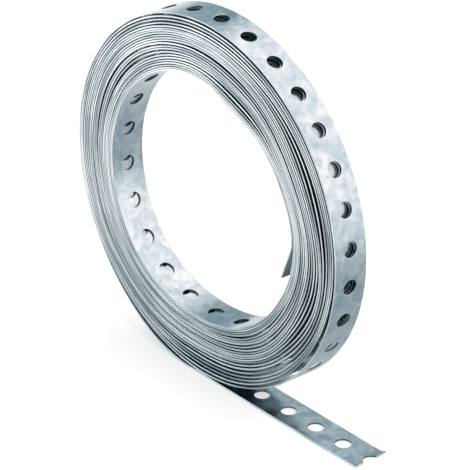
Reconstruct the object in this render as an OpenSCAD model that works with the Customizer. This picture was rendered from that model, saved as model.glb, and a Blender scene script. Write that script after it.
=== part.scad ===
// Coil of punched steel strap, standing on its own flat tail.
// Frame: coil axis along Y, tail along +X, floor at z = 0. Millimetres, +Z up.
// The strap is one continuous strip: sheared outer end, flat tail, a wound
// spiral of tangent arcs and a sprung inner end, punched all along its length.

/* [Strap] */
// width of the strip
strap_w = 17; // [14:1:26]
// thickness of the strip
strap_t = 0.75; // [0.6:0.05:0.9]
// diameter of the punched holes
hole_d = 7; // [4:0.5:8]
// distance from hole to hole along the strip
hole_pitch = 17.3; // [15:0.1:40]

/* [Coil] */
// whole turns in the coil
turns = 22; // [6:1:24]
// radius of the outermost turn, to the middle of the strip
coil_r = 84.5; // [80:0.5:100]
// air between two turns where the coil is tight
tight_gap = 0.35; // [0.3:0.05:0.6]
// more air on the tail's side of the outermost turn, half of it above and below
loose_gap = 1.6; // [0:0.05:2.5]
// turns over which the coil tightens up
loose_turns = 6; // [1:1:12]

/* [Tail] */
// radius of the bend where the outermost turn meets the floor
heel_r = 58; // [50:0.5:75]
// from the coil's middle to the centre of the hole that is cut through
tail_reach = 99; // [90:0.5:160]
// from the sheared edge to the centre of that hole
shear_off = 0.5; // [0:0.1:3]

/* [Inner end] */
// bend radius of the sprung inner end
tip_r = 24; // [20:1:40]
// how far the inner end is bent
tip_turn = 52; // [20:1:60]

/* [Hidden] */

// directions, one quarter turn apart, inwards along the strip: down, left, up, right
UX = [0, -1, 0, 1];
UZ = [-1, 0, 1, 0];
// the heel meets the coil where the surface points along this direction
HX = -0.28;
HZ = -0.96;
last = 4*turns - 2;
reach = 2*coil_r;
punch_over = 0.25;

// sizes are kept to a hundredth, so neighbouring arcs meet exactly
function q(x) = round(x*100)/100;
function loose(i) = max(0, 1 - i/loose_turns);
// by how much the radius falls at the end of quarter k
function fall(k) = q((strap_t + tight_gap)/4
                     + (k % 4 == 0 ? loose_gap/2*loose(floor(k/4)) : 0));

heel_drop = coil_r - heel_r;
flat_x = HX*heel_drop;
heel_c = [flat_x, strap_t/2 + heel_r];
coil_c = heel_c - [HX, HZ]*heel_drop;
end_x = tail_reach - shear_off;

// radii and centres of all quarters, from the outside in
rad = [for (k = 0, r = coil_r; k <= last; r = r - fall(k), k = k + 1) r];
cen = [for (k = 0, c = coil_c; k <= last;
            c = k < last ? c + (rad[k] - rad[k+1])*[UX[(k+1) % 4], UZ[(k+1) % 4]] : c,
            k = k + 1) c];
tip_c = cen[last] + [rad[last] - tip_r, 0];

// lengths of the pieces of the strip and where each one starts
heel_len = heel_r*acos(-HZ)*PI/180;
function span(k) = k == 0 ? 90 - acos(-HZ) : 90;
flat_len = end_x - flat_x;
start = [for (k = 0, s = flat_len + heel_len; k <= last + 1;
              s = k <= last ? s + rad[k]*span(k)*PI/180 : s, k = k + 1) s];
strip_len = start[last+1] + tip_r*tip_turn*PI/180;
holes = floor((strip_len + shear_off)/hole_pitch);
function hole_s(n) = n*hole_pitch - shear_off;

// one curved piece of the strip between two directions, seen along the axis
module bend(c, r, ax, az, bx, bz) {
    translate(c) intersection() {
        difference() {
            circle(r + strap_t/2);
            circle(r - strap_t/2);
        }
        polygon([[0, 0], reach*[ax, az], reach*[ax+bx, az+bz], reach*[bx, bz]]);
    }
}

// the strip's edge: tail, heel, all quarters and the sprung end
module profile() {
    translate([flat_x, 0]) square([flat_len, strap_t]);
    bend(heel_c, heel_r, 0, -1, HX, HZ);
    bend(cen[0], rad[0], HX, HZ, -1, 0);
    for (k = [1:last])
        bend(cen[k], rad[k], UX[k % 4], UZ[k % 4], UX[(k+1) % 4], UZ[(k+1) % 4]);
    bend(tip_c, tip_r, 1, 0, cos(tip_turn), -sin(tip_turn));
}

// a punch standing on the strip: c centre of the bend, a direction, r radius
module punch(c, r, a) {
    translate([c[0], 0, c[1]]) rotate([0, -a, 0])
        translate([r - strap_t/2 - punch_over, 0, 0]) rotate([0, 90, 0])
            cylinder(h = strap_t + 2*punch_over, d = hole_d);
}

module punches() {
    for (n = [0:holes]) {
        s = hole_s(n);
        k = len([for (v = start) if (v <= s) 1]) - 1;
        if (s < flat_len)
            translate([end_x - s, 0, -punch_over]) cylinder(h = strap_t + 2*punch_over, d = hole_d);
        else if (s < start[0])
            punch(heel_c, heel_r, 270 - (s - flat_len)/heel_r*180/PI);
        else if (k <= last)
            punch(cen[k], rad[k], (k == 0 ? 180 + span(0) : 270 - 90*k) - (s - start[k])/rad[k]*180/PI);
        else if (s < strip_len - hole_d/2 - 2)
            punch(tip_c, tip_r, -(s - start[last+1])/tip_r*180/PI);
    }
}

module strap() {
    color([0.66, 0.70, 0.72]) difference() {
        rotate([90, 0, 0]) linear_extrude(strap_w, center = true) profile();
        punches();
    }
}

strap();
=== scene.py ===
"""Coil of galvanised punched steel strap: its surface, its finish and its studio.

The strap is one strip. It leaves a flat tail on the floor, runs up a heel bend and is wound
inwards in about 22 turns to a sprung inner end. All lengths below are millimetres along the
strip (s), across it (y) and through it (h, positive on the outer face); they become metres
when the mesh is written.
"""
from __future__ import annotations

import logging
import math
from dataclasses import asdict, dataclass, field
from enum import Enum

import bmesh
import bpy
import numpy as np
from mathutils import Matrix, Vector


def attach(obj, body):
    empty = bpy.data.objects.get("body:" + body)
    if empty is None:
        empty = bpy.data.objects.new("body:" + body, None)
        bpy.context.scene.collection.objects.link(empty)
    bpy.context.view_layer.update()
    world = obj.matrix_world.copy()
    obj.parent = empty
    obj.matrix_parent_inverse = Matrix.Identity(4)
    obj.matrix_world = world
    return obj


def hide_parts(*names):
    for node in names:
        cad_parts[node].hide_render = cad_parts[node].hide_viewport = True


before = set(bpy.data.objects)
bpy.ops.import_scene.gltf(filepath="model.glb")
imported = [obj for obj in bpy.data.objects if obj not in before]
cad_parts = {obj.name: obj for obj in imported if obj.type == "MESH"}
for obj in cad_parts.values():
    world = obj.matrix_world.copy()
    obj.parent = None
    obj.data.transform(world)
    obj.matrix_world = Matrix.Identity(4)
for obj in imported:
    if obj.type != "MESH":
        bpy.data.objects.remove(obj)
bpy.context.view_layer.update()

MM = 0.001
MERGE_DISTANCE = 2e-6
NODE = "strap"
LOG = logging.getLogger("strap_coil")

Colour = tuple[float, float, float]
Triple = tuple[float, float, float]
Pair = tuple[float, float]
Socket = bpy.types.NodeSocket


@dataclass(frozen=True)
class Strip:
    """Sizes of the punched strip, in millimetres.

    The chamfer is the worn arris of the slit edges. The rim is the ring that the punch pulls
    down round a hole: by rim_drop at the hole, by shoulder_drop at the given share of its
    width, and by nothing at its outside. The bow is how far the edges of a wound strip flare
    outwards.
    """

    width: float = 17.0
    thickness: float = 0.75
    hole_radius: float = 3.5
    pitch: float = 17.3
    shear_off: float = 0.5
    chamfer: float = 0.1
    rim: float = 0.35
    rim_drop: float = 0.1
    shoulder_share: float = 0.45
    shoulder_drop: float = 0.03
    burr: float = 0.03
    bow: float = 0.05

    @property
    def half_width(self) -> float:
        """Half of the strip's width."""
        return self.width / 2

    @property
    def half_thickness(self) -> float:
        """Half of the strip's thickness."""
        return self.thickness / 2

    @property
    def flat_half(self) -> float:
        """Half width of the flat face between the two worn arrises."""
        return self.half_width - self.chamfer

    def hole_centre(self, number: np.ndarray) -> np.ndarray:
        """Distance of a hole's centre from the sheared outer end: whole pitches less the offset."""
        return number * self.pitch - self.shear_off


@dataclass(frozen=True)
class Ripple:
    """Smooth seeded unevenness over the winding.

    The value is a sum of cosines of (waves per turn count x turn + whole waves x angle +
    phase), so it closes on itself round the coil and has unit spread.
    """

    seed: int
    terms: int = 24
    slow: float = 0.05
    fast: float = 0.48
    around: int = 3

    def at(self, angle: np.ndarray, turn: np.ndarray) -> np.ndarray:
        """Evaluate the ripple.

        Args:
            angle: Direction from the coil's middle, in degrees.
            turn: Turns counted from the outside.

        Returns:
            The unevenness at each place, with a spread of about one.
        """
        rng = np.random.default_rng(self.seed)
        waves = rng.uniform(self.slow, self.fast, self.terms)
        loops = rng.integers(-self.around, self.around + 1, self.terms)
        phases = rng.uniform(0.0, 2 * math.pi, self.terms)
        total = np.zeros(np.broadcast(angle, turn).shape)
        for wave, loop, phase in zip(waves, loops, phases):
            total += np.cos(2 * math.pi * wave * turn + loop * np.radians(angle) + phase)
        return total * math.sqrt(2.0 / self.terms)


@dataclass(frozen=True)
class Slack:
    """A patch of the winding where the turns stand apart.

    The weight is a bell in angle and in turn; its middle angle leans by `lean` degrees a turn.
    """

    angle: float
    turn: float
    angle_spread: float
    turn_spread: float
    weight: float
    lean: float = 0.0

    def at(self, angle: np.ndarray, turn: np.ndarray) -> np.ndarray:
        """Weight of the patch: exp(-(d_angle / spread)^2 / 2 - (d_turn / spread)^2 / 2).

        Args:
            angle: Direction from the coil's middle, in degrees.
            turn: Turns counted from the outside.

        Returns:
            The weight at each place.
        """
        along = wrapped(angle - self.angle - self.lean * (turn - self.turn))
        bell = (along / self.angle_spread) ** 2 + ((turn - self.turn) / self.turn_spread) ** 2
        return self.weight * np.exp(-bell / 2)


@dataclass(frozen=True)
class Bulge:
    """A smooth bulge of the bore or of the outermost turn; positive heights point outwards."""

    angle: float
    spread: float
    height: float

    def at(self, angle: np.ndarray) -> np.ndarray:
        """Height of the bulge: a bell round its middle angle."""
        return self.height * np.exp(-((wrapped(angle - self.angle) / self.spread) ** 2) / 2)


def wrapped(angle: np.ndarray) -> np.ndarray:
    """Turn differences of angle into the range from -180 to 180 degrees."""
    return (np.asarray(angle) + 180.0) % 360.0 - 180.0


def smoothstep(value: np.ndarray, low: float, high: float) -> np.ndarray:
    """Smooth rise from 0 to 1 between two limits: 3t^2 - 2t^3 of the clipped share."""
    share = np.clip((value - low) / (high - low), 0.0, 1.0)
    return share * share * (3 - 2 * share)


def unit_vectors(angle: np.ndarray) -> np.ndarray:
    """Unit vectors (count, 2) at angles in radians: their cosines and sines."""
    return np.stack([np.cos(angle), np.sin(angle)], axis=1)


def read_ring(grid: np.ndarray, row: np.ndarray, column: np.ndarray) -> np.ndarray:
    """Read a grid between its points: linear both ways, with its last row next to its first.

    Args:
        grid: Array (rows, columns).
        row: Row numbers, whole or between two rows.
        column: Column numbers, whole or between two columns.

    Returns:
        The value at each place.
    """
    low_row, low_column = row.astype(int), np.minimum(column.astype(int), grid.shape[1] - 2)
    row_part, column_part = row - low_row, column - low_column
    here, there = low_row % len(grid), (low_row + 1) % len(grid)
    values = [grid[rows, low_column] * (1 - column_part) + grid[rows, low_column + 1] * column_part
              for rows in (here, there)]
    return values[0] * (1 - row_part) + values[1] * row_part


@dataclass
class Path:
    """Middle line of the strip, sampled finely from the sheared end to the inner end."""

    length: np.ndarray
    x: np.ndarray
    z: np.ndarray
    tangent_x: np.ndarray
    tangent_z: np.ndarray
    sideways: np.ndarray
    wound: np.ndarray

    @classmethod
    def through(cls, points: np.ndarray, sideways: np.ndarray, wound: np.ndarray) -> "Path":
        """Build a path through sampled points.

        Args:
            points: Array (count, 2) of x and z.
            sideways: Shift along the coil's axis at each point.
            wound: 0 on the flat tail and 1 in the coil, with a soft change between.

        Returns:
            The path, with its running length and its unit tangents by central differences.
        """
        steps = np.hypot(*np.diff(points, axis=0).T)
        length = np.concatenate([[0.0], np.cumsum(steps)])
        slope = np.gradient(points, length, axis=0)
        slope /= np.linalg.norm(slope, axis=1, keepdims=True)
        return cls(length, points[:, 0], points[:, 1], slope[:, 0], slope[:, 1], sideways, wound)

    def read(self, name: str, s: np.ndarray) -> np.ndarray:
        """Value of one of the path's columns at the distances s, read off linearly."""
        return np.interp(s, self.length, getattr(self, name))


@dataclass
class Winding:
    """The wound strip's middle line.

    The turns are the quarter arcs of the built coil. Between the outermost turn and the bore
    the air is then shared out again: each place keeps the least gap and gets its share of the
    rest by a weight, which is a ripple and the slack patches, so that some turns lie close
    and others stand apart.
    """

    strip: Strip
    coil_radius: float = 84.5
    heel_radius: float = 58.0
    heel_direction: Pair = (-0.28, -0.96)
    tail_reach: float = 99.0
    turns: int = 22
    tight_gap: float = 0.35
    loose_gap: float = 1.6
    loose_turns: int = 6
    tip_start: float = -5.0
    tip_radius: float = 12.0
    tip_turn: float = 27.0
    tip_length: float = 21.5
    least_gap: float = 0.06
    air_ripple: Ripple = Ripple(7)
    gap_ripple: float = 0.695
    inner_calm: float = 0.9
    calm_turns: Pair = (3.0, 1.5)
    rim_ease: Pair = (200.0, 360.0)
    tail_shift: float = -0.3
    coil_shift: float = 0.16
    shift_turns: float = 0.12
    sway_ripple: Ripple = Ripple(11, fast=0.35, around=2)
    sway: float = 0.08
    facet: float = 0.02
    sample: float = 0.25
    wind_step: float = 0.25
    grid_step: float = 0.5
    levels_per_turn: int = 12
    slacks: tuple[Slack, ...] = ()
    bore_bulges: tuple[Bulge, ...] = ()
    rim_bulges: tuple[Bulge, ...] = ()

    @property
    def heel_angle(self) -> float:
        """Direction, in degrees, at which the heel bend meets the outermost turn."""
        return math.degrees(math.atan2(self.heel_direction[1], self.heel_direction[0])) % 360.0

    @property
    def heel_centre(self) -> np.ndarray:
        """Centre of the heel bend, straight above the end of the flat tail."""
        across = self.heel_direction[0] * self.heel_drop
        return np.array([across, self.strip.half_thickness + self.heel_radius])

    @property
    def heel_drop(self) -> float:
        """Distance from the centre of the outermost turn to the centre of the heel bend."""
        return self.coil_radius - self.heel_radius

    @property
    def centre(self) -> np.ndarray:
        """Centre of the outermost turn."""
        return self.heel_centre - np.array(self.heel_direction) * self.heel_drop

    def quarter_arcs(self) -> tuple[np.ndarray, np.ndarray]:
        """Radii and centres of the coil's quarter turns.

        The radius falls at each quarter by a quarter of the thickness and the tight gap, and
        by half of the loose gap on the first quarter of each outer turn, which leaves more air
        on the tail's side. The centre moves by the same step, so that neighbouring arcs stay
        tangent.

        Returns:
            Radii (count,) and centres (count, 2).
        """
        quarter = np.arange(4 * self.turns - 1)
        ease = np.maximum(0.0, 1 - (quarter // 4) / self.loose_turns)
        loose = np.where(quarter % 4 == 0, self.loose_gap / 2 * ease, 0.0)
        fall = np.floor(((self.strip.thickness + self.tight_gap) / 4 + loose) * 100 + 0.5) / 100
        radii = self.coil_radius - np.concatenate([[0.0], np.cumsum(fall[:-1])])
        towards = np.array([[0, -1], [-1, 0], [0, 1], [1, 0]])[(quarter[:-1] + 1) % 4]
        steps = -np.diff(radii)[:, None] * towards
        centres = self.centre + np.vstack([np.zeros(2), np.cumsum(steps, axis=0)])
        return radii, centres

    def built_spiral(self) -> tuple[np.ndarray, np.ndarray]:
        """Polar form of the built coil about its centre.

        Returns:
            Winding angle in degrees, counted from the heel, and the radius there.
        """
        radii, centres = self.quarter_arcs()
        count = int((self.heel_angle - 180 + 90 * (len(radii) - 1)) / self.wind_step) + 1
        normal = self.heel_angle - np.arange(count) * self.wind_step
        quarter = np.clip(((270.0 - normal) // 90).astype(int), 0, len(radii) - 1)
        points = centres[quarter] + radii[quarter, None] * unit_vectors(np.radians(normal))
        away = points - self.centre
        polar = np.unwrap(np.arctan2(away[:, 1], away[:, 0]))
        return np.degrees(polar[0] - polar), np.hypot(away[:, 0], away[:, 1])

    def air_weight(self, angle: np.ndarray, turn: np.ndarray) -> np.ndarray:
        """Share of the air that a place asks for.

        It is the exponential of a ripple plus the slacks, and less in the innermost turns,
        which lie close.

        Args:
            angle: Direction from the coil's middle, in degrees.
            turn: Turns counted from the outside.

        Returns:
            The weight of each place.
        """
        weight = np.exp(self.gap_ripple * self.air_ripple.at(angle, turn))
        for slack in self.slacks:
            weight += slack.at(angle, turn)
        low, high = (self.turns - left for left in self.calm_turns)
        return weight * (1 - self.inner_calm * smoothstep(turn, low, high))

    def air_share(self, angles: np.ndarray, levels: np.ndarray) -> np.ndarray:
        """Share of the air that lies outside each place: the weights' running sum over their sum.

        Args:
            angles: Directions (rows,) in degrees.
            levels: Turn counts (columns,) from the outermost turn to the inner end.

        Returns:
            Array (rows, columns) that rises from 0 to 1 along each row.
        """
        weight = self.air_weight(angles[:, None], levels[None, :])
        steps = (weight[:, 1:] + weight[:, :-1]) / 2
        share = np.concatenate([np.zeros((len(angles), 1)), np.cumsum(steps, axis=1)], axis=1)
        return share / share[:, -1:]

    def bore_and_rim(self, angles: np.ndarray, wind: np.ndarray,
                     radius: np.ndarray) -> tuple[np.ndarray, np.ndarray]:
        """Radii of the bore and of the outermost turn in each direction, with their bulges.

        The bore is the last built turn there, drawn in by as much as the strip would still
        close in up to its inner end.

        Args:
            angles: Directions in degrees.
            wind: Winding angle of each sample of the built coil.
            radius: Built radius of each sample.

        Returns:
            Radius of the bore and radius of the outermost turn in each direction.
        """
        first = (self.heel_angle - angles) % 360.0
        last = first + 360.0 * np.floor((wind[-1] - first) / 360.0)
        pitch = self.strip.thickness + self.tight_gap
        bore = np.interp(last, wind, radius) - (wind[-1] / 360.0 - last / 360.0) * pitch
        rim = np.interp(first, wind, radius)
        bore += sum(bulge.at(angles) for bulge in self.bore_bulges)
        rim += sum(bulge.at(angles) for bulge in self.rim_bulges)
        return bore, rim

    def relaxed_radius(self, wind: np.ndarray, radius: np.ndarray) -> np.ndarray:
        """Share the air out again between the outermost turn and the bore.

        For each direction, the depth below the outer envelope is the turns' metal and least
        gaps plus the total air times the running share of the weight. The envelope is set so
        that the outermost turn stays where it was built, plus its bulges, and is eased over
        the end of that turn, so that the second turn takes over where the first one ends.

        Args:
            wind: Winding angle of each sample, in degrees from the heel.
            radius: Built radius of each sample.

        Returns:
            Relaxed radius of each sample.
        """
        pitch = self.strip.thickness + self.least_gap
        whole = wind[-1] / 360.0
        angles = np.arange(0.0, 360.0, self.grid_step)
        levels = np.linspace(0.0, whole, self.levels_per_turn * self.turns + 1)
        share = self.air_share(angles, levels)
        bore, rim = self.bore_and_rim(angles, wind, radius)

        first = (self.heel_angle - angles) % 360.0
        begin, finish = int(np.argmin(first)), int(np.argmax(first))
        begin_air = rim[begin] - bore[begin] - pitch * whole
        second_turn = rim[begin] - pitch - begin_air * np.interp(1.0, levels, share[begin])
        rim += (second_turn - rim[finish]) * smoothstep(first, *self.rim_ease)

        first_turn = first / 360.0
        first_share = read_ring(share, np.arange(len(angles)), first_turn / levels[1])
        air = (rim - bore - pitch * (whole - first_turn)) / (1 - first_share)
        envelope = rim + pitch * first_turn + air * first_share
        relaxed = envelope[:, None] - (pitch * levels[None, :] + air[:, None] * share)
        row = ((self.heel_angle - wind) % 360.0) / self.grid_step
        return read_ring(relaxed, row, wind / 360.0 / levels[1])

    def path(self) -> Path:
        """Middle line of the whole strip, from the sheared end to the inner end.

        The tail is a straight line, the heel an arc, the coil the relaxed spiral and the inner
        end a short bend with a straight end.

        Returns:
            The sampled path.
        """
        flat_end = self.heel_centre[0]
        tail_x = np.arange(self.tail_reach - self.strip.shear_off, flat_end, -self.sample)
        tail = np.stack([tail_x, np.full_like(tail_x, self.strip.half_thickness)], axis=1)
        heel_turn = 270.0 - self.heel_angle
        heel_count = int(math.radians(heel_turn) * self.heel_radius / self.sample)
        heel_angle = np.radians(np.linspace(270.0, self.heel_angle, heel_count, endpoint=False))
        heel = self.heel_centre + self.heel_radius * unit_vectors(heel_angle)

        wind, radius = self.built_spiral()
        relaxed = self.relaxed_radius(wind, radius)
        direction = self.heel_angle - wind
        spiral = self.centre + relaxed[:, None] * unit_vectors(np.radians(direction))

        body = np.vstack([tail, heel, spiral])
        unwound = len(tail) + len(heel)
        turn = np.concatenate([np.zeros(unwound), wind / 360.0])
        angle = np.concatenate([np.full(unwound, self.heel_angle), direction])
        body, turn, angle = self.with_tip(body, turn, angle)
        wound = smoothstep(turn, 0.0, self.shift_turns)
        sideways = self.tail_shift + (self.coil_shift - self.tail_shift) * wound
        sideways += self.sway * wound * self.sway_ripple.at(angle, turn)
        return self.facetted(Path.through(body, sideways, wound))

    def with_tip(self, body: np.ndarray, turn: np.ndarray,
                 angle: np.ndarray) -> tuple[np.ndarray, np.ndarray, np.ndarray]:
        """End the spiral where the tip starts, and add the tip's bend and its straight end.

        The bend has the tip's radius and leans inwards by the tip's turn, no further than the
        tip is long; the rest of the tip is straight.

        Args:
            body: Points of the strip up to the end of the spiral.
            turn: Turn count at each point.
            angle: Direction of each point from the coil's middle.

        Returns:
            Points, turn counts and directions with the tip.
        """
        run = np.concatenate([[0.0], np.cumsum(np.hypot(*np.diff(body, axis=0).T))])
        keep = run < run[-1] + self.tip_start
        kept = body[keep]
        along = (kept[-1] - kept[-2]) / np.linalg.norm(kept[-1] - kept[-2])
        inward = np.array([along[1], -along[0]])
        reach = np.arange(self.sample, self.tip_length, self.sample)
        bend = np.minimum(reach / self.tip_radius, math.radians(self.tip_turn))
        heading = np.cos(bend)[:, None] * along + np.sin(bend)[:, None] * inward
        tip = kept[-1] + np.cumsum(heading, axis=0) * self.sample
        tip_turn, tip_angle = (np.full(len(tip), column[keep][-1]) for column in (turn, angle))
        return (np.vstack([kept, tip]), np.concatenate([turn[keep], tip_turn]),
                np.concatenate([angle[keep], tip_angle]))

    def facetted(self, path: Path) -> Path:
        """Let the wound strip bend a little more at each hole than between two.

        The middle line moves outwards by the facet height times the cosine of the distance
        from the nearest hole, in pitches.

        Args:
            path: The smooth path.

        Returns:
            The path with the slight kinks.
        """
        phase = 2 * math.pi * (path.length + self.strip.shear_off) / self.strip.pitch
        lift = self.facet * path.wound * np.cos(phase)
        points = np.stack([path.x - lift * path.tangent_z, path.z + lift * path.tangent_x], axis=1)
        return Path.through(points, path.sideways, path.wound)


class Finish(Enum):
    """Material slots of the strap's mesh."""

    ZINC = 0
    SHEARED = 1
    PUNCHED = 2


@dataclass(frozen=True)
class Cell:
    """Flat layout of the strip round one hole.

    Rings of points lead from the edge of the hole out to the cell's outline, anticlockwise
    as seen from the outer face. A cut cell has open rings that end on the sheared edge. A cell
    reaches half a pitch to either side of its hole, or further ahead if `ahead` is given. A
    fine cell also has the rim's rings, and one at `middle_share` of the way to the outline.
    """

    strip: Strip
    along: int
    left: int
    right: int
    fine: bool = True
    cut: bool = False
    ahead: float = 0.0
    middle_share: float = 0.45

    def outline(self) -> np.ndarray:
        """Points of the cell's outline about its hole: the rectangle's sides, evenly divided.

        Returns:
            Array (points, 2) of s and y.
        """
        half, side = self.strip.pitch / 2, self.strip.flat_half
        start, stop = self.strip.shear_off if self.cut else -half, self.ahead or half
        run = np.linspace(start, stop, self.along + 1)
        up = np.linspace(-side, side, self.right + 1)
        near = np.stack([run[:-1], np.full(self.along, -side)], axis=1)
        end = np.stack([np.full(self.right, stop), up[:-1]], axis=1)
        far = np.stack([run[::-1], np.full(self.along + 1, side)], axis=1)
        if self.cut:
            return np.vstack([near, end, far])
        down = np.linspace(side, -side, self.left + 1)
        back = np.stack([np.full(self.left, -half), down[:-1]], axis=1)
        return np.vstack([near, end, far[:-1], back])

    def circle(self, radius: float, count: int) -> np.ndarray:
        """Points on a circle round the hole, one for each point of the outline.

        The angles are even. They are turned so that the side towards the inner end keeps its
        middle at angle 0; in a cut cell they run from the sheared edge round to it.

        Args:
            radius: Radius of the circle.
            count: Number of points.

        Returns:
            Array (count, 2) of s and y.
        """
        if self.cut:
            reach = math.acos(self.strip.shear_off / radius)
            angle = np.linspace(-reach, reach, count)
        else:
            start = -(self.right / 2 + self.along) * 2 * math.pi / count
            angle = start + np.arange(count) * 2 * math.pi / count
        return radius * unit_vectors(angle)

    def rings(self) -> tuple[np.ndarray, np.ndarray, np.ndarray]:
        """Rings of the cell and how far each lies below the outer and the inner face.

        Returns:
            Points (rings, count, 2), drop of the outer face (rings,) and rise of the burr on
            the inner face (rings,).
        """
        strip, outline = self.strip, self.outline()
        count, radius = len(outline), strip.hole_radius
        edge = self.circle(radius, count)
        if not self.fine:
            flat = np.zeros(2)
            return np.stack([edge, outline]), flat, flat
        shoulder = self.circle(radius + strip.rim * strip.shoulder_share, count)
        rim = self.circle(radius + strip.rim, count)
        middle = rim * (1 - self.middle_share) + outline * self.middle_share
        drop = np.array([strip.rim_drop, strip.shoulder_drop, 0.0, 0.0, 0.0])
        burr = np.array([strip.burr, 0.0, 0.0, 0.0, 0.0])
        return np.stack([edge, shoulder, rim, middle, outline]), drop, burr


def quad_sheet(shape: tuple[int, int, int], closed: bool, flip: bool) -> np.ndarray:
    """Quads of sheets of points laid out in rows and columns.

    Args:
        shape: Number of sheets, rows and columns.
        closed: Whether the last column joins the first.
        flip: Whether the faces look the other way.

    Returns:
        Array (quads, 4) of indices into the flattened points.
    """
    here = np.arange(math.prod(shape)).reshape(shape)
    there = np.roll(here, -1, axis=2)
    if not closed:
        here, there = here[..., :-1], there[..., :-1]
    quads = np.stack([here[:, :-1], here[:, 1:], there[:, 1:], there[:, :-1]], axis=-1)
    quads = quads.reshape(-1, 4)
    return quads[:, ::-1] if flip else quads


@dataclass
class Sheets:
    """Points (s, y, h) and faces gathered for one mesh."""

    points: list[np.ndarray] = field(default_factory=list)
    faces: list[list[int]] = field(default_factory=list)
    finishes: list[int] = field(default_factory=list)
    count: int = 0

    def add(self, points: np.ndarray, faces: np.ndarray, finish: Finish) -> None:
        """Take in a sheet.

        Args:
            points: Array (..., 3) of s, y and h.
            faces: Array (faces, corners) of indices into the flattened points.
            finish: What the sheet is dressed in.
        """
        flat = points.reshape(-1, 3)
        self.points.append(flat)
        self.faces.extend((faces + self.count).tolist())
        self.finishes.extend([finish.value] * len(faces))
        self.count += len(flat)


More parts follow.
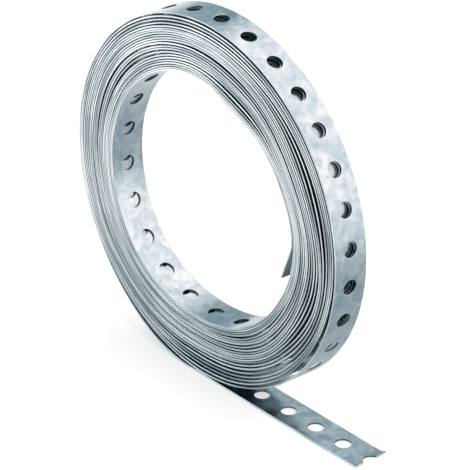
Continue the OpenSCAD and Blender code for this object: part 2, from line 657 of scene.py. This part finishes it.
@dataclass
class Strap:
    """The whole strap as one closed mesh, punched along its length.

    The cells of the outermost and the innermost holes, which can be seen, are cut finely, and
    the others coarsely; the cuts are a cell's parts along and across. The end's flare and
    curl are those of its corners, over the reach from the sheared edge.
    """

    strip: Strip
    winding: Winding
    fine_outside: int = 66
    fine_inside: int = 30
    fine_cuts: tuple[int, int] = (12, 12)
    coarse_cuts: tuple[int, int] = (4, 2)
    end_flare: float = 0.6
    near_curl: float = 0.15
    far_curl: float = 1.3
    curl_across: Pair = (1.0, 9.5)
    end_reach: float = 4.0
    inner_margin: float = 2.0
    crease: float = 28.0

    def place(self, path: Path, points: np.ndarray) -> np.ndarray:
        """Wrap flat points onto the wound strip.

        A point lies on the middle line at s, moved by h along the outward normal and by y
        along the coil's axis. The wound strip's edges flare outwards with the square of y.
        At the sheared end the corners are drawn out, and the far one curls up off the floor.

        Args:
            path: The strip's middle line.
            points: Array (count, 3) of s, y and h.

        Returns:
            Array (count, 3) of x, y and z in millimetres.
        """
        s, y, h = points.T
        side = np.abs(y) / self.strip.half_width
        near_end = np.clip(1 - s / self.end_reach, 0.0, 1.0)
        wound = path.read("wound", s)
        out = h + self.strip.bow * wound * side**2
        far = smoothstep(y, *self.curl_across)
        out = out - (self.near_curl + (self.far_curl - self.near_curl) * far) * near_end**2
        tangent_x, tangent_z = path.read("tangent_x", s), path.read("tangent_z", s)
        drawn = self.end_flare * near_end * side**4
        x = path.read("x", s) - out * tangent_z - drawn * tangent_x
        z = path.read("z", s) + out * tangent_x - drawn * tangent_z
        return np.stack([x, y + path.read("sideways", s), z], axis=1)

    def edge_profile(self) -> np.ndarray:
        """Section of a slit edge from the inner face to the outer face.

        Returns:
            Array (4, 2) of y and h.
        """
        half, chamfer = self.strip.half_thickness, self.strip.chamfer
        side, flat = self.strip.half_width, self.strip.flat_half
        return np.array([
            [flat, -half], [side, -half + chamfer], [side, half - chamfer], [flat, half]])

    def add_cells(self, sheets: Sheets, cell: Cell, numbers: np.ndarray) -> None:
        """Add the same cell round each of several holes.

        Args:
            sheets: Takes the points and faces.
            cell: Layout round the hole.
            numbers: Numbers of the holes, counted from the sheared end.
        """
        rings, drop, burr = cell.rings()
        centres = self.strip.hole_centre(numbers)
        flat = np.empty((len(numbers), *rings.shape[:2], 3))
        flat[..., 0] = centres[:, None, None] + rings[..., 0]
        flat[..., 1] = rings[..., 1]
        half = self.strip.half_thickness
        outer, inner = flat.copy(), flat
        outer[..., 2] = half - drop[:, None]
        inner[..., 2] = -half - burr[:, None]
        sheet = quad_sheet(flat.shape[:3], not cell.cut, False)
        sheets.add(outer, sheet, Finish.ZINC)
        sheets.add(inner, sheet[:, ::-1], Finish.ZINC)
        wall = np.stack([inner[:, 0], outer[:, 0]], axis=1)
        # The hole's wall takes the punched finish, whose dark colour is partly painted shade of the
        # hole.
        sheets.add(wall, quad_sheet(wall.shape[:3], not cell.cut, False), Finish.PUNCHED)

        profile = self.edge_profile()
        run = cell.outline()[:cell.along + 1, 0]
        for sign in (1, -1):
            edge = np.empty((len(numbers), len(profile), len(run), 3))
            edge[..., 0] = centres[:, None, None] + run
            edge[..., 1] = sign * profile[:, :1]
            edge[..., 2] = profile[:, 1:]
            sheets.add(edge, quad_sheet(edge.shape[:3], False, sign < 0), Finish.SHEARED)

    def add_sheared_end(self, sheets: Sheets, cell: Cell) -> None:
        """Close the sheared end: one face on each side of the hole that is cut through.

        Args:
            sheets: Takes the points and faces.
            cell: Layout round that hole.
        """
        rings, drop, burr = cell.rings()
        half = self.strip.half_thickness
        y = rings[:, -1, 1]
        outer = np.stack([y, half - drop], axis=1)
        inner = np.stack([y, -half - burr], axis=1)
        edge = self.edge_profile()[1:3]
        loop = np.vstack([outer, edge[::-1], inner[::-1]])
        points = np.insert(loop, 0, 0.0, axis=1)
        order = np.arange(len(points))[None, :]
        sheets.add(points, order, Finish.SHEARED)
        sheets.add(points * [1, -1, 1], order[:, ::-1], Finish.SHEARED)

    def add_inner_end(self, sheets: Sheets, s: float, across: int) -> None:
        """Close the inner end with one face over the strip's whole section.

        Args:
            sheets: Takes the points and faces.
            s: Distance of the inner end from the sheared end.
            across: Number of parts into which the last cell divides the width.
        """
        half = self.strip.half_thickness
        y = np.linspace(-self.strip.flat_half, self.strip.flat_half, across + 1)
        inner = np.stack([y, np.full_like(y, -half)], axis=1)
        outer = np.stack([y[::-1], np.full_like(y, half)], axis=1)
        edge = self.edge_profile()[1:3]
        loop = np.vstack([inner, edge, outer, edge[::-1] * [-1, 1]])
        points = np.insert(loop, 0, s, axis=1)
        sheets.add(points, np.arange(len(points))[None, :], Finish.SHEARED)

    def sheets(self, path: Path) -> Sheets:
        """Lay out all cells: fine on the visible turns, plain between the others.

        Args:
            path: The strip's middle line, whose length sets the number of holes.

        Returns:
            The flat points and faces of the whole strip.
        """
        strip, whole = self.strip, path.length[-1]
        room = strip.hole_radius + self.inner_margin
        last = int((whole - room + strip.shear_off) / strip.pitch)
        along, across = self.fine_cuts
        coarse_along, coarse_across = self.coarse_cuts
        join_in, join_out = self.fine_outside, last - self.fine_inside
        cut = Cell(strip, along // 2 + 1, across, across, cut=True)
        fine = Cell(strip, along, across, across)
        coarse = Cell(strip, coarse_along, coarse_across, coarse_across, fine=False)
        sheets = Sheets()
        self.add_cells(sheets, cut, np.array([0]))
        self.add_cells(sheets, fine, np.arange(1, join_in))
        self.add_cells(sheets, Cell(strip, along, across, coarse_across), np.array([join_in]))
        self.add_cells(sheets, coarse, np.arange(join_in + 1, join_out))
        self.add_cells(sheets, Cell(strip, along, coarse_across, across), np.array([join_out]))
        self.add_cells(sheets, fine, np.arange(join_out + 1, last))
        end = Cell(strip, along, across, across, ahead=whole - strip.hole_centre(last))
        self.add_cells(sheets, end, np.array([last]))
        self.add_sheared_end(sheets, cut)
        self.add_inner_end(sheets, whole, across)
        return sheets

    def build(self, materials: list[bpy.types.Material]) -> bpy.types.Object:
        """Build the strap's mesh, join its cells and dress it.

        Args:
            materials: One material for each finish, in the order of their numbers.

        Returns:
            The finished object, at the origin.
        """
        path = self.winding.path()
        sheets = self.sheets(path)
        flat = np.vstack(sheets.points)
        mesh = bpy.data.meshes.new("punched_strap")
        mesh.from_pydata((self.place(path, flat) * MM).tolist(), [], sheets.faces)
        mesh.polygons.foreach_set("material_index", sheets.finishes)
        strip_place = mesh.attributes.new("strip", "FLOAT_VECTOR", "POINT")
        strip_place.data.foreach_set("vector", (flat * MM).astype(np.float32).ravel())
        for material in materials:
            mesh.materials.append(material)
        join_cells(mesh)
        mesh.shade_smooth()
        mesh.set_sharp_from_angle(angle=math.radians(self.crease))
        piece = placed("punched_strap", mesh)
        LOG.info("strap: %d faces, %.0f mm of strip", len(mesh.polygons), flat[:, 0].max())
        return piece


def join_cells(mesh: bpy.types.Mesh) -> None:
    """Merge the doubled points between neighbouring cells, and report any open edge.

    Args:
        mesh: The strap's mesh, which is changed in place.
    """
    work = bmesh.new()
    work.from_mesh(mesh)
    bmesh.ops.remove_doubles(work, verts=work.verts, dist=MERGE_DISTANCE)
    loose = sum(1 for edge in work.edges if len(edge.link_faces) != 2)
    LOG.info("open edges %d, volume %.1f mm3", loose, work.calc_volume(signed=True) / MM**3)
    work.to_mesh(mesh)
    work.free()


def placed(name: str, data: bpy.types.ID) -> bpy.types.Object:
    """Put a mesh, a lamp or a camera into the scene.

    Args:
        name: Name of the new object.
        data: What it holds.

    Returns:
        The object, at the origin.
    """
    holder = bpy.data.objects.new(name, data)
    bpy.context.scene.collection.objects.link(holder)
    return holder


@dataclass(frozen=True)
class Noise:
    """Fractal noise: waves per metre, octaves, weight of the finer ones, and its own bending."""

    scale: float
    detail: float
    roughness: float = 0.5
    distortion: float = 0.0


class NodeSketch:
    """Short hand for building a material's or a world's node tree."""

    def __init__(self, owner: bpy.types.Material | bpy.types.World) -> None:
        """Start from the owner's tree, emptied.

        Args:
            owner: The material or the world that is dressed.
        """
        owner.use_nodes = True
        self.tree = owner.node_tree
        self.tree.nodes.clear()

    def add(self, kind: str, **settings: object) -> bpy.types.Node:
        """Add a node and set its properties.

        Args:
            kind: Blender's name of the node type.
            **settings: Properties to set on it.

        Returns:
            The node.
        """
        node = self.tree.nodes.new(kind)
        for name, value in settings.items():
            setattr(node, name, value)
        return node

    def wired(self, kind: str, inputs: dict[int | str, object], output: int | str = 0,
              **settings: object) -> Socket:
        """Add a node, and link or set its inputs.

        Args:
            kind: Blender's name of the node type.
            inputs: What each input gets, by its number or name: a socket or a value.
            output: Number or name of the output to take.
            **settings: Properties to set on the node.

        Returns:
            That output.
        """
        node = self.add(kind, **settings)
        for key, value in inputs.items():
            if isinstance(value, Socket):
                self.tree.links.new(value, node.inputs[key])
            else:
                node.inputs[key].default_value = value
        return node.outputs[output]

    def end(self, kind: str, shader: Socket) -> None:
        """Lead a shader to the tree's output node, which is of the given kind."""
        self.tree.links.new(shader, self.add(kind).inputs["Surface"])

    def stretched(self, source: Socket, scale: Triple) -> Socket:
        """Scale a vector by its own factor on each axis."""
        return self.wired("ShaderNodeVectorMath", {0: source, 1: scale}, operation="MULTIPLY")

    def noise(self, place: Socket, noise: Noise) -> Socket:
        """Value of a fractal noise at a place, between 0 and 1."""
        settings = {name.capitalize(): value for name, value in asdict(noise).items()}
        return self.wired("ShaderNodeTexNoise", {"Vector": place, **settings})

    def fitted(self, value: Socket, source: Pair, target: Pair) -> Socket:
        """Map a value linearly from one range to another, held at the ends."""
        ends = dict(enumerate((*source, *target), start=1))
        return self.wired("ShaderNodeMapRange", {0: value, **ends}, clamp=True)

    def blended(self, first: Socket, second: Socket, share: float) -> Socket:
        """Mix two values with a fixed share of the second."""
        return self.wired("ShaderNodeMix", {0: share, 2: first, 3: second}, data_type="FLOAT")

    def joined(self, operation: str, first: Socket, second: Socket) -> Socket:
        """Join two values by one step of arithmetic."""
        return self.wired("ShaderNodeMath", {0: first, 1: second}, operation=operation)

    def coloured(self, value: Socket, stops: tuple[tuple[float, Colour], ...]) -> Socket:
        """Colour a value by a scale.

        Args:
            value: The value, from 0 to 1.
            stops: Places on the scale with their colours.

        Returns:
            The colour, mixed linearly between two stops.
        """
        output = self.wired("ShaderNodeValToRGB", {0: value})
        elements = output.node.color_ramp.elements
        for _ in range(len(stops) - len(elements)):
            elements.new(0.5)
        for element, (place, colour) in zip(elements, stops):
            element.position = place
            element.color = (*colour, 1.0)
        return output


@dataclass(frozen=True)
class BareMetal:
    """Bare metal with a pattern on the strip's own coordinates (along, across, through)."""

    name: str

    def material(self) -> bpy.types.Material:
        """Build the material.

        Returns:
            The material, with the finish's own shader.
        """
        material = bpy.data.materials.new(self.name)
        sketch = NodeSketch(material)
        place = sketch.wired("ShaderNodeAttribute", {}, "Vector", attribute_name="strip")
        sketch.end("ShaderNodeOutputMaterial", self.shader(sketch, place))
        return material

    def shader(self, sketch: NodeSketch, place: Socket) -> Socket:
        """Shader of the metal; each finish has its own."""
        raise NotImplementedError(self.name)


@dataclass(frozen=True)
class ZincFinish(BareMetal):
    """Hot-dip zinc on rolled strip: soft spangle, blotches of bloom and faint rolling lines.

    The mottle starts as the blotches. The spangle, the grain and the lines are mixed into it
    in turn, each with its own share, and it sets both the colour and the roughness. Places
    are drawn far apart through the strip, so that its two faces carry different blotches.
    """

    dull: Colour = (0.22, 0.30, 0.355)
    plain: Colour = (0.31, 0.39, 0.43)
    bright: Colour = (0.43, 0.50, 0.52)
    mottle: Triple = (0.35, 0.5, 0.65)
    blotches: Noise = Noise(110.0, 4.0, 0.65, 0.6)
    spangle: float = 300.0
    spangle_blur: float = 0.6
    spangle_share: float = 0.28
    grain: Noise = Noise(560.0, 3.0, 0.7)
    grain_share: float = 0.35
    lines: Noise = Noise(1400.0, 2.0)
    lines_share: float = 0.10
    line_stretch: Triple = (0.05, 1.0, 1.0)
    faces_apart: Triple = (1.0, 1.0, 45.0)
    roughness: Pair = (0.18, 0.30)
    bump: float = 0.10
    bump_height: float = 0.0002

    def shader(self, sketch: NodeSketch, place: Socket) -> Socket:
        """Mottle the zinc and raise its grain a little.

        Args:
            sketch: The material's nodes.
            place: The strip's own coordinates.

        Returns:
            The shader.
        """
        place = sketch.stretched(place, self.faces_apart)
        blotches = sketch.noise(place, self.blotches)
        grain = sketch.noise(place, self.grain)
        lines = sketch.noise(sketch.stretched(place, self.line_stretch), self.lines)
        cells = sketch.wired(
            "ShaderNodeTexVoronoi",
            {"Vector": place, "Scale": self.spangle, "Smoothness": self.spangle_blur},
            "Color", feature="SMOOTH_F1")
        spangle = sketch.wired("ShaderNodeSeparateColor", {0: cells})
        mottle = sketch.blended(blotches, spangle, self.spangle_share)
        mottle = sketch.blended(mottle, grain, self.grain_share)
        mottle = sketch.blended(mottle, lines, self.lines_share)
        stops = tuple(zip(self.mottle, (self.dull, self.plain, self.bright)))
        limits = (self.mottle[0], self.mottle[-1])
        bump = sketch.wired("ShaderNodeBump", {
            "Height": sketch.blended(grain, blotches, 0.5),
            "Strength": self.bump,
            "Distance": self.bump_height,
        })
        return sketch.wired("ShaderNodeBsdfPrincipled", {
            "Metallic": 1.0,
            "Base Color": sketch.coloured(mottle, stops),
            "Roughness": sketch.fitted(mottle, limits, self.roughness),
            "Normal": bump,
        })


@dataclass(frozen=True)
class ShearedFinish(BareMetal):
    """Slit or punched edge: rubbed streaks along it, and patches some 50 mm long.

    Neighbouring turns lie half a metre apart along the strip, so their patches differ.
    """

    dark: Colour
    light: Colour
    limits: Pair = (0.38, 0.58)
    streaks: Noise = Noise(900.0, 2.0, 0.6)
    streak_stretch: Triple = (0.12, 1.0, 2.0)
    patches: Noise = Noise(18.0, 2.0)
    patch_share: float = 0.75
    roughness: float = 0.36

    def shader(self, sketch: NodeSketch, place: Socket) -> Socket:
        """Colour the edge by its streaks and patches.

        Args:
            sketch: The material's nodes.
            place: The strip's own coordinates.

        Returns:
            The shader.
        """
        streaks = sketch.noise(sketch.stretched(place, self.streak_stretch), self.streaks)
        mix = sketch.blended(streaks, sketch.noise(place, self.patches), self.patch_share)
        stops = tuple(zip(self.limits, (self.dark, self.light)))
        return sketch.wired("ShaderNodeBsdfPrincipled", {
            "Metallic": 1.0,
            "Base Color": sketch.coloured(mix, stops),
            "Roughness": self.roughness,
        })


@dataclass(frozen=True)
class SoftBox:
    """A square area lamp that looks at the coil; the radiance is what a mirror shows of it."""

    name: str
    direction: Triple
    distance: float
    size: float
    radiance: float

    def hang(self, target: Vector) -> None:
        """Hang the lamp: its power is radiance x pi x area.

        Args:
            target: What it looks at, in metres.
        """
        lamp = bpy.data.lights.new(self.name, "AREA")
        lamp.shape = "SQUARE"
        lamp.size = self.size
        lamp.energy = self.radiance * math.pi * self.size**2
        holder = placed(self.name, lamp)
        towards = Vector(self.direction).normalized()
        holder.location = target + towards * self.distance
        holder.rotation_euler = towards.to_track_quat("Z", "Y").to_euler()


@dataclass
class Studio:
    """Pale floor, soft lamps, surroundings and the camera.

    The camera sees the floor in its plain glow. What the metal mirrors of the floor is a painted
    reflection: it rises from the shade glow, a painted shade at the shade's middle by the coil, to
    the far glow, a painted brighter floor, over the shade's reach.
    """

    azimuth: float = 48.91
    elevation: float = 28.53
    roll: float = 0.89
    distance: float = 1.7378
    target: Triple = (0.00998, 0.00016, 0.07017)
    lens: float = 313.9
    sensor: float = 36.0
    clip_start: float = 0.01
    floor_size: float = 8.0
    floor_colour: Colour = (0.40, 0.40, 0.40)
    floor_glow: Colour = (0.55, 0.55, 0.55)
    # Painted shade in the metal's mirroring of the floor: its middle, reach and dark teal colour;
    # the far glow is a painted brighter floor.
    shade_middle: Triple = (0.10, -0.02, 0.0)
    shade_reach: Pair = (0.10, 0.42)
    shade_glow: Colour = (0.17, 0.26, 0.29)
    far_glow: Colour = (1.0, 1.0, 1.0)
    dusk_colour: Colour = (0.56, 0.70, 0.74)
    sky_colour: Colour = (1.0, 0.84, 0.80)
    sky_strength: float = 2.45
    sky_direction: Triple = (0.50, 0.58, 0.64)
    sky_edge: Pair = (0.34, 0.52)
    lamps: tuple[SoftBox, ...] = ()

    def camera(self) -> None:
        """Place the camera on its sphere round the target, turned by the roll."""
        azimuth, elevation, roll = (
            math.radians(value) for value in (self.azimuth, self.elevation, self.roll))
        view = Vector((-math.sin(azimuth) * math.cos(elevation),
                       math.cos(azimuth) * math.cos(elevation), -math.sin(elevation)))
        level = Vector((math.cos(azimuth), math.sin(azimuth), 0.0))
        up = level.cross(view)
        right = level * math.cos(roll) + up * math.sin(roll)
        up = right.cross(view)
        turn = Matrix((right, up, -view)).transposed().to_4x4()
        data = bpy.data.cameras.new("camera")
        data.sensor_width = self.sensor
        data.lens = self.lens
        data.clip_start = self.clip_start
        turn.translation = Vector(self.target) - view * self.distance
        holder = placed("camera", data)
        holder.matrix_world = turn
        bpy.context.scene.camera = holder

    def floor(self) -> None:
        """Lay the floor: one square plane in its paint."""
        half = self.floor_size / 2
        mesh = bpy.data.meshes.new("floor")
        corners = [(-half, -half, 0.0), (half, -half, 0.0), (half, half, 0.0), (-half, half, 0.0)]
        mesh.from_pydata(corners, [], [(0, 1, 2, 3)])
        mesh.materials.append(self.floor_paint())
        placed("floor", mesh)

    def floor_paint(self) -> bpy.types.Material:
        """Matt paint, plus a glow that only the camera, glass and the metal's mirroring see.

        The glow's colour goes by a share: the mirrored share is the distance from the shade's
        middle over its reach, and a direct look takes the middle of the scale. So the metal mirrors
        a painted shade, dark and teal, near the coil and a painted brighter floor far off, while
        the camera sees the floor even.

        Returns:
            The material.
        """
        material = bpy.data.materials.new("floor_paint")
        sketch = NodeSketch(material)
        rays = sketch.add("ShaderNodeLightPath").outputs
        place = sketch.wired("ShaderNodeNewGeometry", {}, "Position")
        away = sketch.wired("ShaderNodeVectorMath", {0: place, 1: self.shade_middle}, "Value",
                            operation="DISTANCE")
        # Painted shade: what the metal mirrors of the floor darkens towards the shade's middle.
        lit = sketch.fitted(away, self.shade_reach, (0.0, 1.0))
        mirrored = sketch.joined("MULTIPLY", rays["Is Glossy Ray"], lit)
        direct = sketch.joined("MAXIMUM", rays["Is Camera Ray"], rays["Is Transmission Ray"])
        share = sketch.joined("ADD", mirrored, sketch.fitted(direct, (0.0, 1.0), (0.0, 0.5)))
        stops = ((0.0, self.shade_glow), (0.5, self.floor_glow), (1.0, self.far_glow))
        paint = sketch.wired("ShaderNodeBsdfDiffuse", {"Color": (*self.floor_colour, 1.0)})
        glow = sketch.wired("ShaderNodeEmission", {
            "Color": sketch.coloured(share, stops),
            "Strength": sketch.joined("MAXIMUM", direct, rays["Is Glossy Ray"]),
        })
        both = sketch.wired("ShaderNodeAddShader", {0: paint, 1: glow})
        sketch.end("ShaderNodeOutputMaterial", both)
        return material

    def world(self) -> None:
        """Surround the scene: a dim even light, and a wide bright sky at the back right.

        The share of the sky rises with the cosine between a direction and the sky's middle.
        """
        world = bpy.data.worlds.new("surroundings")
        sketch = NodeSketch(world)
        direction = sketch.wired("ShaderNodeTexCoord", {}, "Generated")
        middle = Vector(self.sky_direction).normalized()
        along = sketch.wired("ShaderNodeVectorMath", {0: direction, 1: middle}, "Value",
                             operation="DOT_PRODUCT")
        share = sketch.fitted(along, self.sky_edge, (0.0, 1.0))
        stops = ((0.0, self.dusk_colour), (1.0, self.sky_colour))
        back = sketch.wired("ShaderNodeBackground", {
            "Color": sketch.coloured(share, stops),
            "Strength": sketch.fitted(share, (0.0, 1.0), (1.0, self.sky_strength)),
        })
        sketch.end("ShaderNodeOutputWorld", back)
        bpy.context.scene.world = world

    def build(self) -> None:
        """Set up the floor, the lamps, the surroundings, the camera and the plain view."""
        self.floor()
        self.world()
        self.camera()
        for lamp in self.lamps:
            lamp.hang(Vector(self.target))
        bpy.context.scene.view_settings.view_transform = "Standard"


SLACKS = (
    Slack(angle=85, turn=2.0, angle_spread=45, turn_spread=1.2, weight=1.6),
    Slack(angle=38, turn=1.0, angle_spread=34, turn_spread=0.4, weight=2.0),
    Slack(angle=-30, turn=0.9, angle_spread=16, turn_spread=0.35, weight=9.0),
    Slack(angle=27, turn=6.0, angle_spread=15, turn_spread=1.6, weight=6.0, lean=5.0),
    Slack(angle=-25, turn=8.5, angle_spread=13, turn_spread=3.0, weight=3.0, lean=5.0),
    Slack(angle=-75, turn=4.0, angle_spread=15, turn_spread=2.5, weight=2.5),
    Slack(angle=210, turn=2.5, angle_spread=16, turn_spread=0.8, weight=2.0),
    Slack(angle=268, turn=2.5, angle_spread=10, turn_spread=2.0, weight=3.0),
    Slack(angle=55, turn=11.5, angle_spread=35, turn_spread=0.3, weight=2.5),
    Slack(angle=170, turn=12.0, angle_spread=40, turn_spread=0.3, weight=1.5),
    Slack(angle=65, turn=18.5, angle_spread=15, turn_spread=2.0, weight=2.0),
)
BORE_BULGES = (
    Bulge(angle=72, spread=13, height=-3.7),
    Bulge(angle=106, spread=9, height=0.1),
    Bulge(angle=38, spread=18, height=-1.15),
    Bulge(angle=5, spread=22, height=1.35),
    Bulge(angle=-35, spread=18, height=-0.95),
    Bulge(angle=-90, spread=22, height=-1.45),
    Bulge(angle=-140, spread=22, height=2.2),
    Bulge(angle=180, spread=22, height=1.1),
    Bulge(angle=145, spread=16, height=0.4),
)
RIM_BULGES = (
    Bulge(angle=75, spread=28, height=0.4),
    Bulge(angle=-20, spread=22, height=0.6),
)
LAMPS = (
    SoftBox("front_left", (-0.55, -0.55, 0.62), distance=1.4, size=1.0, radiance=1.4),
)
FINISHES = {
    Finish.ZINC: ZincFinish("zinc_face"),
    Finish.SHEARED: ShearedFinish("sheared_edge", (0.28, 0.35, 0.39), (0.75, 0.81, 0.83)),
    # The punched wall's near-black colours are partly its dull shear face and partly painted shade
    # of the deep hole.
    Finish.PUNCHED: ShearedFinish("punched_wall_painted_shade", (0.05, 0.07, 0.08), (0.18, 0.22, 0.24)),
}


def main() -> None:
    """Build the strap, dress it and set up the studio."""
    logging.basicConfig(level=logging.INFO, format="%(name)s: %(message)s")
    strip = Strip()
    winding = Winding(strip, slacks=SLACKS, bore_bulges=BORE_BULGES, rim_bulges=RIM_BULGES)
    piece = Strap(strip, winding).build([FINISHES[kind].material() for kind in Finish])
    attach(piece, "root")
    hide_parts(NODE)
    Studio(lamps=LAMPS).build()


if __name__ == "__main__":
    main()
